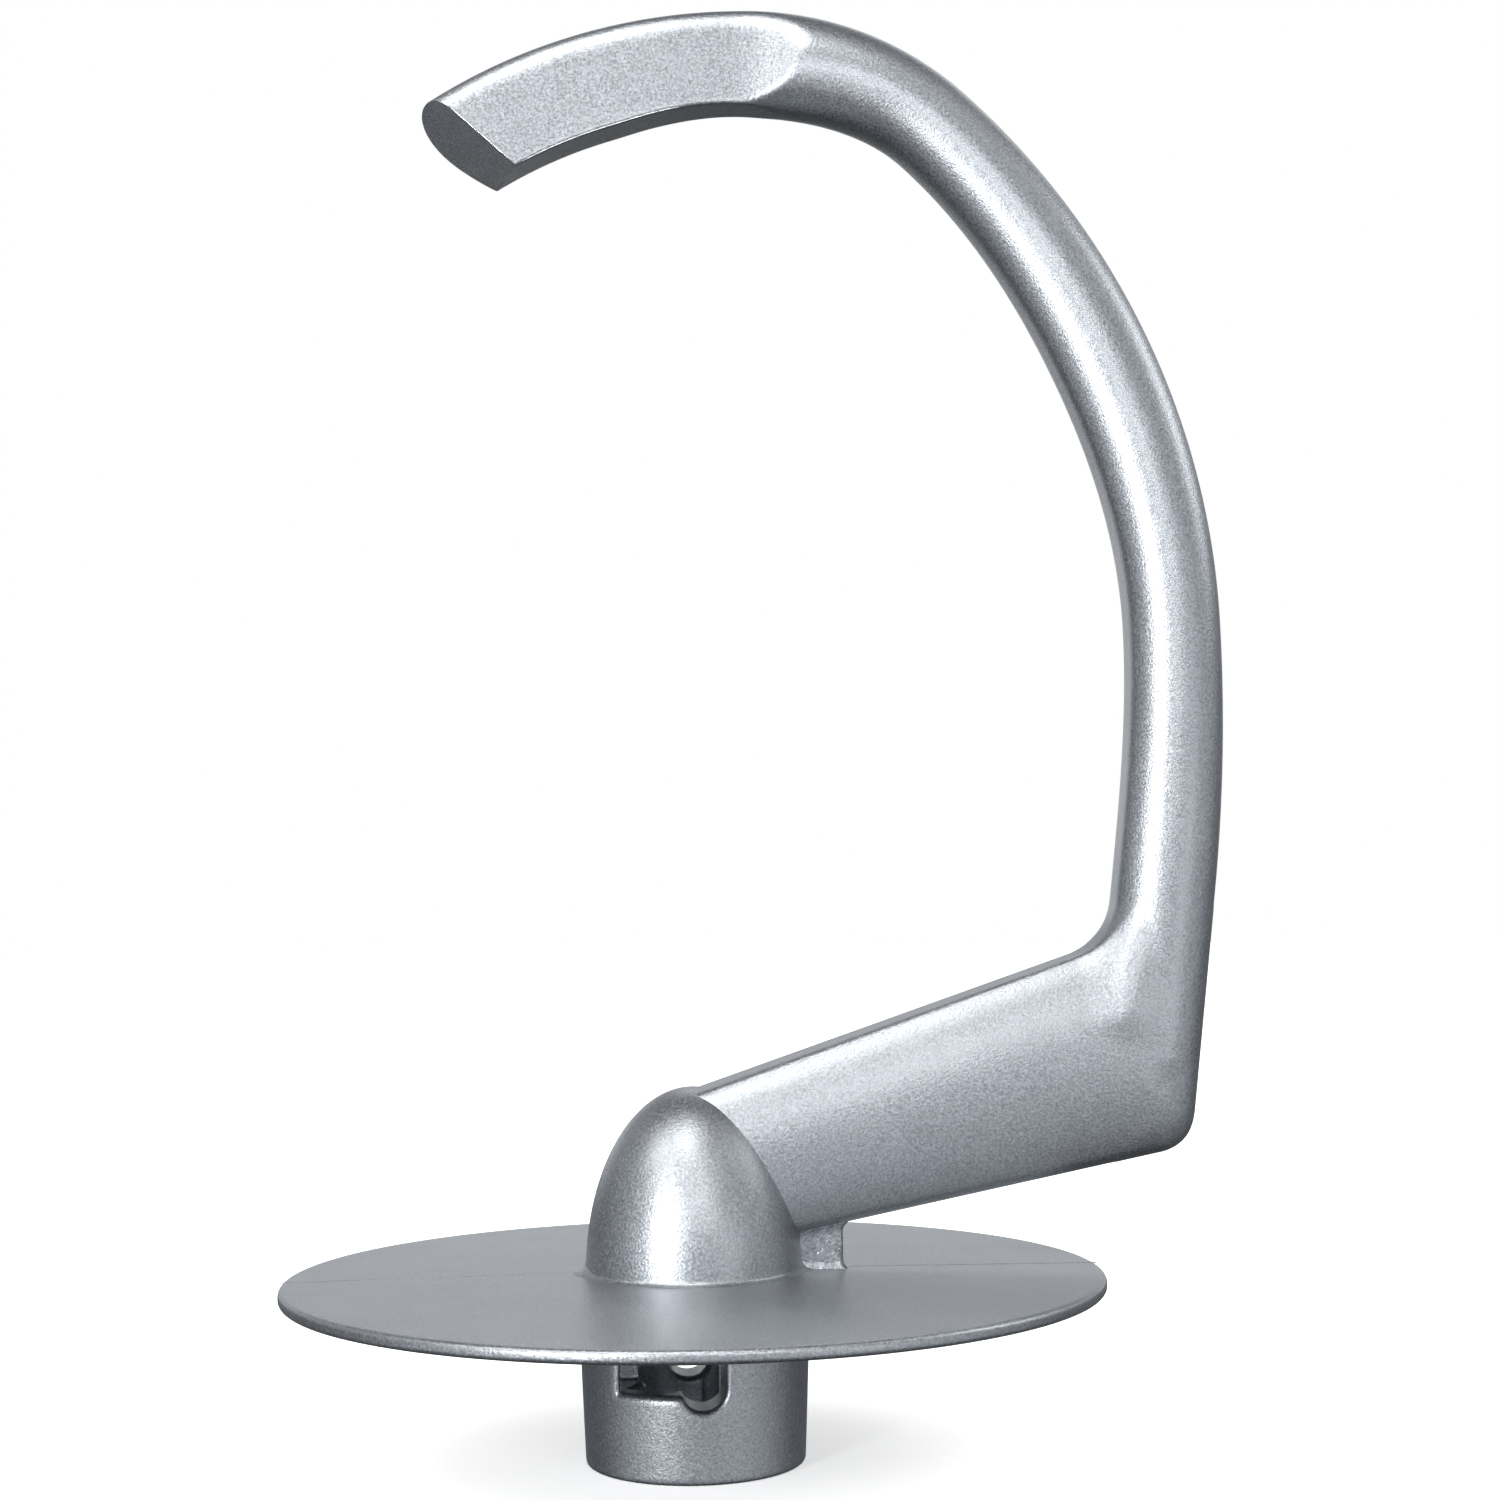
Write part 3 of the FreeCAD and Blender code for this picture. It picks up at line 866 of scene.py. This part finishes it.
@dataclass
class HookBow:
    """Upright, shoulder, crown and blade, swept along the outer line. Sizes in mm."""

    section: HookSection = field(default_factory=HookSection)
    rings: int = 290
    sides: int = 168
    foot: float = -1.2
    sink: float = 0.03
    overrun: float = 9.0
    cut_turn: float = 13.0
    cut_lean: float = 24.5
    cut_back: float = 1.05
    chord_burr: float = 0.16
    edge_burr: float = 0.09
    burr_sink: float = 0.05
    burr_ends: Tuple[float, float] = (165.0, 141.0)
    widest: float = 12.0
    halvings: int = 34
    chord: List[Point] = field(default_factory=list)

    def spine(self) -> bpy.types.Object:
        """A line of points with each section's sizes as attributes.

        Returns:
            An object of edges only.
        """
        line = self.section.line
        stations = np.linspace(self.foot, line.ends()[-1] + self.overrun, self.rings)
        data = [line.point(s) for s in stations]
        points = np.array([(x, 0.0, z) for x, z, _ in data])
        spine = make_object("hook_bow_spine", points, [],
                            [(i, i + 1) for i in range(len(points) - 1)])
        mesh = spine.data
        section = self.section
        half, flat = section.half, section.flatness(stations)
        floats = {
            "station": stations,
            "width": section.width(stations) * MM,
            "front": (half + (section.front - half) * flat) * MM,
            "back": (half + (section.back - half) * flat) * MM,
            "flat": flat,
        }
        for name, values in floats.items():
            mesh.attributes.new(name, "FLOAT", "POINT").data.foreach_set(
                "value", np.asarray(values, np.float32))
        inward = np.array([(-math.sin(h), 0.0, math.cos(h)) for _, _, h in data], np.float32)
        for name, values in (("rail", (points * MM).astype(np.float32)), ("inward", inward)):
            mesh.attributes.new(name, "FLOAT_VECTOR", "POINT").data.foreach_set(
                "vector", values.ravel())
        return spine

    def sweep_tree(self) -> bpy.types.NodeTree:
        """Geometry nodes that sweep the rounded section along a spine.

        Returns:
            The tree, with its sizes and its metal as named inputs.
        """
        tree = bpy.data.node_groups.new("hook_sweep", "GeometryNodeTree")
        face = tree.interface
        face.new_socket("Spine", in_out="INPUT", socket_type="NodeSocketGeometry")
        face.new_socket("Sides", in_out="INPUT", socket_type="NodeSocketInt")
        face.new_socket("Back Bulge", in_out="INPUT", socket_type="NodeSocketFloat")
        face.new_socket("Metal", in_out="INPUT", socket_type="NodeSocketMaterial")
        face.new_socket("Hook", in_out="OUTPUT", socket_type="NodeSocketGeometry")
        given = add_node(tree, "NodeGroupInput").outputs

        def math_node(kind: str, a: object, b: object = 0.0) -> bpy.types.NodeSocket:
            """A Math node's result."""
            return add_node(tree, "ShaderNodeMath", {"operation": kind}, in0=a, in1=b).outputs[0]

        def named(name: str, kind: str = "FLOAT") -> bpy.types.NodeSocket:
            """A named attribute of the spine."""
            found = add_node(tree, "GeometryNodeInputNamedAttribute", {"data_type": kind},
                             Name=name)
            return [s for s in found.outputs if s.enabled][0]

        rail = add_node(tree, "GeometryNodeMeshToCurve", {}, Mesh=given["Spine"]).outputs["Curve"]
        ring = add_node(tree, "GeometryNodeCurvePrimitiveCircle", {}, Resolution=given["Sides"],
                        Radius=MM).outputs["Curve"]
        index = add_node(tree, "GeometryNodeInputIndex").outputs[0]
        turn = math_node("MULTIPLY", math_node("DIVIDE", index, given["Sides"]), 2 * math.pi)
        ring = add_node(tree, "GeometryNodeStoreNamedAttribute",
                        {"data_type": "FLOAT", "domain": "POINT"},
                        Geometry=ring, Name="turn", Value=turn).outputs["Geometry"]
        tube = add_node(tree, "GeometryNodeCurveToMesh", {}, Curve=rail, Profile_Curve=ring,
                        Fill_Caps=True).outputs["Mesh"]
        turn, flat = named("turn"), named("flat")
        sine, cosine = math_node("SINE", turn), math_node("COSINE", turn)
        across = math_node("MULTIPLY", math_node("MULTIPLY", named("width"), 0.5),
                           math_node("SUBTRACT", 1.0, cosine))
        swell = math_node("ADD", 1.0, math_node(
            "MULTIPLY", math_node("MULTIPLY", given["Back Bulge"], flat), cosine))
        behind = math_node("MULTIPLY", math_node("MULTIPLY", named("back"), sine), swell)
        power = math_node("SUBTRACT", 1.0, math_node("MULTIPLY", flat, 0.5))
        before = math_node("MULTIPLY", math_node("MULTIPLY", named("front"), -1.0),
                           math_node("POWER", math_node("ABSOLUTE", sine), power))
        rear = math_node("GREATER_THAN", sine, 0.0)
        depth = math_node("ADD", math_node("MULTIPLY", rear, behind),
                          math_node("MULTIPLY", math_node("SUBTRACT", 1.0, rear), before))
        inner = add_node(tree, "ShaderNodeVectorMath", {"operation": "SCALE"},
                         in0=named("inward", "FLOAT_VECTOR"), Scale=across).outputs[0]
        out = add_node(tree, "ShaderNodeCombineXYZ", {}, Y=depth).outputs[0]
        place = add_node(tree, "ShaderNodeVectorMath", {"operation": "ADD"}, in0=inner,
                         in1=out).outputs[0]
        place = add_node(tree, "ShaderNodeVectorMath", {"operation": "ADD"}, in0=place,
                         in1=named("rail", "FLOAT_VECTOR")).outputs[0]
        moved = add_node(tree, "GeometryNodeSetPosition", {}, Geometry=tube, Position=place)
        real = add_node(tree, "GeometryNodeRealizeInstances", {}, Geometry=moved.outputs[0])
        dressed = add_node(tree, "GeometryNodeSetMaterial", {}, Geometry=real.outputs[0],
                           Material=given["Metal"])
        add_node(tree, "NodeGroupOutput", {}, Hook=dressed.outputs[0])
        return tree

    def sweep(self) -> bpy.types.Object:
        """Run the sweep on a spine and keep the plain mesh.

        Returns:
            The swept object, with its attributes.
        """
        bow = self.spine()
        tree = self.sweep_tree()
        finish = FINISHES[Surface.TUMBLED]
        metal = bpy.data.materials.get(finish.name) or finish.build()
        run = bow.modifiers.new("sweep", "NODES")
        run.node_group = tree
        wanted = {"Sides": self.sides, "Back Bulge": self.section.bulge, "Metal": metal}
        for item in tree.interface.items_tree:
            if item.in_out == "INPUT" and item.name in wanted:
                run[item.identifier] = wanted[item.name]
        bake(bow)
        bow.name = bow.data.name = "hook"
        return bow

    def carve(self, bow: bpy.types.Object) -> None:
        """Move each point along its ray from the section's middle onto the real section.

        Args:
            bow: The swept object, which loses its attributes.
        """
        mesh = bow.data
        count = len(mesh.vertices)
        turn, at = np.empty(count, np.float32), np.empty(count, np.float32)
        mesh.attributes["turn"].data.foreach_get("value", turn)
        mesh.attributes["station"].data.foreach_get("value", at)
        turn, at = turn.astype(float), at.astype(float)
        middle = self.section.width(at) / 2
        low, high = np.zeros(count), np.full(count, self.widest)
        for _ in range(self.halvings):
            reach = (low + high) / 2
            inset = middle - reach * np.cos(turn)
            inside = self.section.form(at, inset, reach * np.sin(turn)) < 0
            low, high = np.where(inside, reach, low), np.where(inside, high, reach)
        reach = low - self.sink * (1 - smooth_step(self.foot, 0.0, at))
        rail = np.empty(count * 3, np.float32)
        inward = np.empty(count * 3, np.float32)
        mesh.attributes["rail"].data.foreach_get("vector", rail)
        mesh.attributes["inward"].data.foreach_get("vector", inward)
        points = rail.reshape(-1, 3).astype(float)
        points += inward.reshape(-1, 3) * ((middle - reach * np.cos(turn)) * MM)[:, None]
        points[:, 1] += reach * np.sin(turn) * MM
        mesh.vertices.foreach_set("co", points.astype(np.float32).ravel())
        for name in ("turn", "station", "rail", "inward", "width", "front", "back", "flat"):
            mesh.attributes.remove(mesh.attributes[name])
        mesh.update()

    def grind_tip(self, bow: bpy.types.Object) -> None:
        """Cut the blade's end off along the ground plane and mark its sharp edge.

        Args:
            bow: The carved object; the cut leaves its front edge in chord.
        """
        x, z, heading = self.section.line.point(self.section.line.ends()[-1])
        turned = heading + math.radians(self.cut_turn)
        lean = math.radians(self.cut_lean)
        normal = Vector((math.cos(turned) * math.cos(lean), -math.sin(lean),
                         math.sin(turned) * math.cos(lean)))
        edit = bmesh.new()
        edit.from_mesh(bow.data)
        # the plane would also meet the upright, so only the blade's side is cut
        near = [f for f in edit.faces if f.calc_center_median().x < 0]
        lines = sorted({e for f in near for e in f.edges}, key=lambda e: e.index)
        corners = sorted({v for f in near for v in f.verts}, key=lambda v: v.index)
        cut = bmesh.ops.bisect_plane(edit, geom=near + lines + corners,
                                     plane_co=(Vector((x, 0, z)) - normal * self.cut_back) * MM,
                                     plane_no=normal, clear_outer=True, dist=1e-7)
        rim = [e for e in cut["geom_cut"] if isinstance(e, bmesh.types.BMEdge)]
        along = Vector((normal.z, 0, -normal.x))
        flat = (0.2 - self.section.front) * MM
        front = {tuple(v.co / MM) for e in rim for v in e.verts if v.co.y < flat}
        self.chord = sorted(front, key=lambda p: along.dot(Vector(p)))
        made = bmesh.ops.holes_fill(edit, edges=rim, sides=0)["faces"]
        for edge in rim:
            edge.smooth = False
        for cap in made:
            cap.material_index = 1
            cap.smooth = False
        bmesh.ops.recalc_face_normals(edit, faces=edit.faces[:])
        edit.to_mesh(bow.data)
        edit.free()

    def edge_line(self) -> List[Point]:
        """The blade's inner front edge, from the tip back to where it fades.

        Returns:
            Points in mm.
        """
        points = []
        for at in np.linspace(self.burr_ends[0], self.burr_ends[1], 60):
            x, z, heading = self.section.line.point(float(at))
            inset = self.section.inner(np.array(at)) - self.burr_sink
            points.append((x - math.sin(heading) * inset, -self.section.front + self.burr_sink,
                           z + math.cos(heading) * inset))
        return points

    def build(self) -> bpy.types.Object:
        """Mesh, finish and enlist the bow.

        Returns:
            The finished piece.
        """
        bow = self.sweep()
        self.carve(bow)
        self.grind_tip(bow)
        # the burr beads take slot 2, whose near-white colour paints the glint along the blade's
        # edges
        join([bow, bead("chord_burr", self.chord[::3], self.chord_burr, 2),
              bead("edge_burr", self.edge_line(), self.edge_burr, 2)])
        kept = np.empty(len(bow.data.polygons), np.int32)
        bow.data.polygons.foreach_get("material_index", kept)
        dress(bow, Surface.TUMBLED, Surface.GROUND, Surface.BURR)
        bow.data.polygons.foreach_set("material_index", kept)
        return enlist(bow, "hook_bow")


@dataclass
class HookArm:
    """Deep oval arm from the dome to the upright, with its heel and crotch. Sizes in mm."""

    section: HookSection = field(default_factory=HookSection)
    dome: BossDome = field(default_factory=BossDome)
    top: float = 41.5
    depth: float = 18.6
    rise: float = math.tan(math.radians(18.6))
    fall: float = math.tan(math.radians(11.0))
    root_half: float = 6.3
    end_half: float = 5.9
    end_x: float = 53.6
    heel: float = 3.3
    crotch: float = 4.4
    land_tilt: float = math.radians(2)
    land_edge: float = 0.35
    land_middle: float = 3.0
    top_spare: float = 1.3
    bottom_spare: float = 1.0
    bottom_edge: float = 1.6
    sole_spare: float = 1.6
    edge: float = 0.3
    crotch_edge: float = 0.15
    end_inset: float = 0.04
    end_spread: float = 4.0
    end_range: Tuple[float, float] = (6.0, 16.0)
    heel_inset: Tuple[float, float] = (2.0, 7.0)
    heel_rise: Tuple[float, float] = (-5.0, 1.0)
    crotch_inset: Tuple[float, float] = (5.0, 11.0)
    crotch_rise: Tuple[float, float] = (-2.0, 5.0)
    root: float = 0.2
    lap: float = 0.8
    sink: float = 0.03
    wall: float = 0.5
    low: Point = (-0.8, -7.6, 20.5)
    high: Point = (64.0, 7.6, 66.5)
    step: float = 0.25

    def form(self, x: np.ndarray, y: np.ndarray, z: np.ndarray) -> np.ndarray:
        """Distance field of arm, heel, crotch and the foot of the upright.

        Args:
            x: Places along the arm, mm.
            y: Places front to back, mm.
            z: Heights, mm.

        Returns:
            Signed distance in mm, negative in the metal.
        """
        section, line = self.section, self.section.line
        sx, sz = line.start
        cosine, sine = math.cos(line.heading), math.sin(line.heading)
        at = (x - sx) * cosine + (z - sz) * sine
        inset = (x - sx) * -sine + (z - sz) * cosine
        rod = section.form(np.minimum(at, 0.0), inset, y)

        upper = self.top + self.rise * x
        lower = self.top - self.depth + self.fall * x
        middle, half = (upper + lower) / 2, (upper - lower) / 2
        thick = self.root_half + (self.end_half - self.root_half) * x / self.end_x
        rise = z - middle
        reach = np.where(rise > 0, half + self.top_spare, half + self.bottom_spare)
        plate = oval(rise, y, reach, thick)
        lean = math.tan(self.land_tilt)
        land = (z - upper - (y - self.land_middle) * lean) * math.cos(math.atan(self.rise))
        plate = blend_cut(plate, land, self.land_edge)
        plate = blend_cut(plate, (lower - z) * math.cos(math.atan(self.fall)), self.bottom_edge)
        sole = oval(np.minimum(rise, 0.0), y, half, thick + self.sole_spare)

        # the arm ends inside the upright's outer side and is left free on its inner side
        outside = np.minimum(inset - section.rod / 2, 0.0)
        side = section.half - self.end_inset
        side = side + self.end_spread * smooth_step(*self.end_range, inset)
        end = oval(outside, y, section.rod / 2, side)
        # each rounding fades where the two surfaces nearly coincide, or it would swell them
        low = 1 - smooth_step(*self.heel_rise, rise)
        near = 1 - smooth_step(*self.heel_inset, inset)
        arm = blend_cut(plate, end, self.edge + self.heel * near * low)
        post = blend_cut(rod, sole, self.edge + self.heel * low)
        inner = smooth_step(*self.crotch_inset, inset)
        soft = self.crotch_edge + self.crotch * inner * smooth_step(*self.crotch_rise, rise)
        whole = blend_union(arm, post, soft)

        core = self.dome
        width, height = core.radius - self.wall, core.height - self.wall
        q = np.sqrt((x / width) ** 2 + (y / width) ** 2 + ((z - core.floor) / height) ** 2) + TINY
        whole = np.maximum(whole, -(q - 1) * width)
        whole = np.maximum(whole, -x + self.root)
        # its last stretch hides just inside the upright
        hidden = self.sink * smooth_step(0.0, self.lap, at)
        return np.maximum(whole + hidden, at - self.lap)

    def build(self) -> bpy.types.Object:
        """Mesh, finish and enlist the arm.

        Returns:
            The finished piece.
        """
        arm = mesh_from_field("arm", self.low, self.high, self.step, self.form)
        dress(arm, Surface.TUMBLED)
        return enlist(arm, "hook_arm")


# ------------------------------------------------------------------ studio

@dataclass(frozen=True)
class Softbox:
    """A rectangular light by its direction from the hook, in degrees, and its size in metres."""

    name: str
    azimuth: float
    elevation: float
    distance: float
    width: float
    height: float
    power: float
    colour: str = "#ffffff"

    def build(self, target: Vector) -> None:
        """Hang the light and aim it.

        Args:
            target: The point that it faces.
        """
        lamp = bpy.data.lights.new(self.name, "AREA")
        lamp.shape = "RECTANGLE"
        lamp.size, lamp.size_y = self.width, self.height
        lamp.energy = self.power
        lamp.color = srgb(self.colour)[:3]
        obj = bpy.data.objects.new(self.name, lamp)
        side, up = math.radians(self.azimuth), math.radians(self.elevation)
        away = Vector((math.sin(side) * math.cos(up), -math.cos(side) * math.cos(up), math.sin(up)))
        obj.location = target + away * self.distance
        obj.rotation_euler = away.to_track_quat("Z", "Y").to_euler()
        bpy.context.scene.collection.objects.link(obj)


@dataclass
class Studio:
    """Floor, lights, surroundings and camera. Sizes in metres, angles in radians.

    The surroundings' tones go by height, from 0 straight down to 1 straight up.
    """

    boxes: Tuple[Softbox, ...] = (
        Softbox("key_low", -35, 4, 0.40, 0.05, 0.21, 0.95),
        Softbox("front_high", 6, 16, 0.32, 0.08, 0.05, 0.12),
        Softbox("front_top", -20, 58, 0.40, 0.15, 0.12, 0.48),
        Softbox("left_high", -62, 42, 0.50, 0.12, 0.15, 0.32),
        Softbox("right_low", 35, -4, 0.50, 0.15, 0.08, 0.10),
        Softbox("right_high", 92, 28, 0.6, 0.12, 0.25, 0.45),
        Softbox("back_low", 180, 5, 1.1, 1.6, 0.20, 0.9),
        Softbox("back_high", 165, 42, 0.9, 0.7, 0.25, 0.7),
    )
    before: Tuple[Tuple[float, str], ...] = (
        (0.0, "#4a4d50"), (0.2, "#aaadb1"), (0.42, "#cfd3d9"), (0.55, "#ccd0d6"),
        (0.7, "#9599a0"), (0.85, "#f8fafd"), (1.0, "#5a5d60"))
    behind: Tuple[Tuple[float, str], ...] = (
        (0.0, "#3c3e40"), (0.2, "#55585b"), (0.42, "#67696c"), (0.55, "#727578"),
        (0.7, "#b6babf"), (0.85, "#8a8d91"), (1.0, "#5a5d60"))
    seen: str = "#ffffff"
    floor_radius: float = 4.0
    floor_depth: float = 0.005
    floor_glow: float = 0.5
    lens: float = 55.1
    eye: Point = (-0.01341, -0.26477, 0.06159)
    heading: float = 0.0776
    pitch: float = 0.0713
    roll: float = -0.0133

    def build(self) -> None:
        """Build the whole studio."""
        low, high = (Vector(c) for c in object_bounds())
        self.build_floor(low.z / MM)
        for box in self.boxes:
            box.build((low + high) / 2)
        self.build_surroundings()
        self.build_camera()

    def build_floor(self, top: float) -> None:
        """A white floor, lit faintly from inside so that shadows stay pale.

        Args:
            top: Height of its upper face, mm.
        """
        reach, under = self.floor_radius / MM, top - self.floor_depth / MM
        floor = lathe("floor", [(0.0, top), (reach, top), (reach, under), (0.0, under)], 64)
        outward(floor)
        # Matt white paper on a light table: no gloss, a little glow
        paper = bpy.data.materials.new("pale_matt_paper")
        paper.use_nodes = True
        shader = paper.node_tree.nodes["Principled BSDF"]
        shader.inputs["Base Color"].default_value = srgb("#fdfdfd")
        shader.inputs["Roughness"].default_value = 0.9
        shader.inputs["Specular IOR Level"].default_value = 0.0
        shader.inputs["Emission Color"].default_value = srgb("#ffffff")
        shader.inputs["Emission Strength"].default_value = self.floor_glow
        floor.data.materials.append(paper)
        floor.visible_glossy = False
        floor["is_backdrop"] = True

    def build_surroundings(self) -> None:
        """Grey tones by height that only reflections see, and plain white for the rest."""
        world = bpy.data.worlds.new("studio")
        world.use_nodes = True
        tree = world.node_tree
        tree.nodes.clear()
        path = add_node(tree, "ShaderNodeLightPath").outputs["Is Glossy Ray"]
        way = add_node(tree, "ShaderNodeTexCoord").outputs["Generated"]
        split = add_node(tree, "ShaderNodeSeparateXYZ", {}, Vector=way)
        rear = add_node(tree, "ShaderNodeMapRange", {"interpolation_type": "SMOOTHSTEP"},
                        Value=split.outputs["Y"], From_Min=-0.5, From_Max=0.4)
        share = add_node(tree, "ShaderNodeMapRange", {}, Value=split.outputs["Z"],
                         From_Min=-1.0, From_Max=1.0)
        ramps = []
        for tones in (self.before, self.behind):
            ramp = add_node(tree, "ShaderNodeValToRGB", {}, Fac=share.outputs["Result"])
            stops = ramp.color_ramp.elements
            for place, grey in tones[1:-1]:
                stops.new(place)
            for stop, (place, grey) in zip(stops, tones):
                stop.position = place
                stop.color = srgb(grey)
            ramps.append(ramp.outputs["Color"])
        shaded = add_node(tree, "ShaderNodeMix", {"data_type": "RGBA"},
                          Factor=rear.outputs["Result"], A=ramps[0], B=ramps[1])
        tone = add_node(tree, "ShaderNodeMix", {"data_type": "RGBA"}, Factor=path,
                        A=srgb(self.seen), B=shaded.outputs["Result"])
        glow = add_node(tree, "ShaderNodeBackground", {}, Color=tone.outputs["Result"],
                        Strength=1.0)
        add_node(tree, "ShaderNodeOutputWorld", {}, Surface=glow.outputs[0])
        bpy.context.scene.world = world
        bpy.context.scene.view_settings.view_transform = "Standard"

    def build_camera(self) -> None:
        """The camera, low in front of the hook and looking slightly up."""
        cos, sin = math.cos, math.sin
        ahead = Vector((sin(self.heading) * cos(self.pitch), cos(self.heading) * cos(self.pitch),
                        sin(self.pitch)))
        level = Vector((cos(self.heading), -sin(self.heading), 0))
        above = level.cross(ahead)
        right = level * cos(self.roll) + above * sin(self.roll)
        up = above * cos(self.roll) - level * sin(self.roll)
        lens = bpy.data.cameras.new("camera")
        lens.lens, lens.sensor_width, lens.clip_start = self.lens, 36.0, 0.01
        camera = bpy.data.objects.new("camera", lens)
        turn = Matrix((right, up, -ahead)).transposed().to_4x4()
        camera.matrix_world = Matrix.Translation(self.eye) @ turn
        bpy.context.scene.collection.objects.link(camera)
        bpy.context.scene.camera = camera


def main() -> None:
    logging.basicConfig(level=logging.INFO, format="%(name)s %(message)s")
    Studio().build()
    DriveHub().build()
    DoughShield().build()
    BossDome().build()
    GateRib().build()
    HookArm().build()
    HookBow().build()


if __name__ == "__main__":
    main()
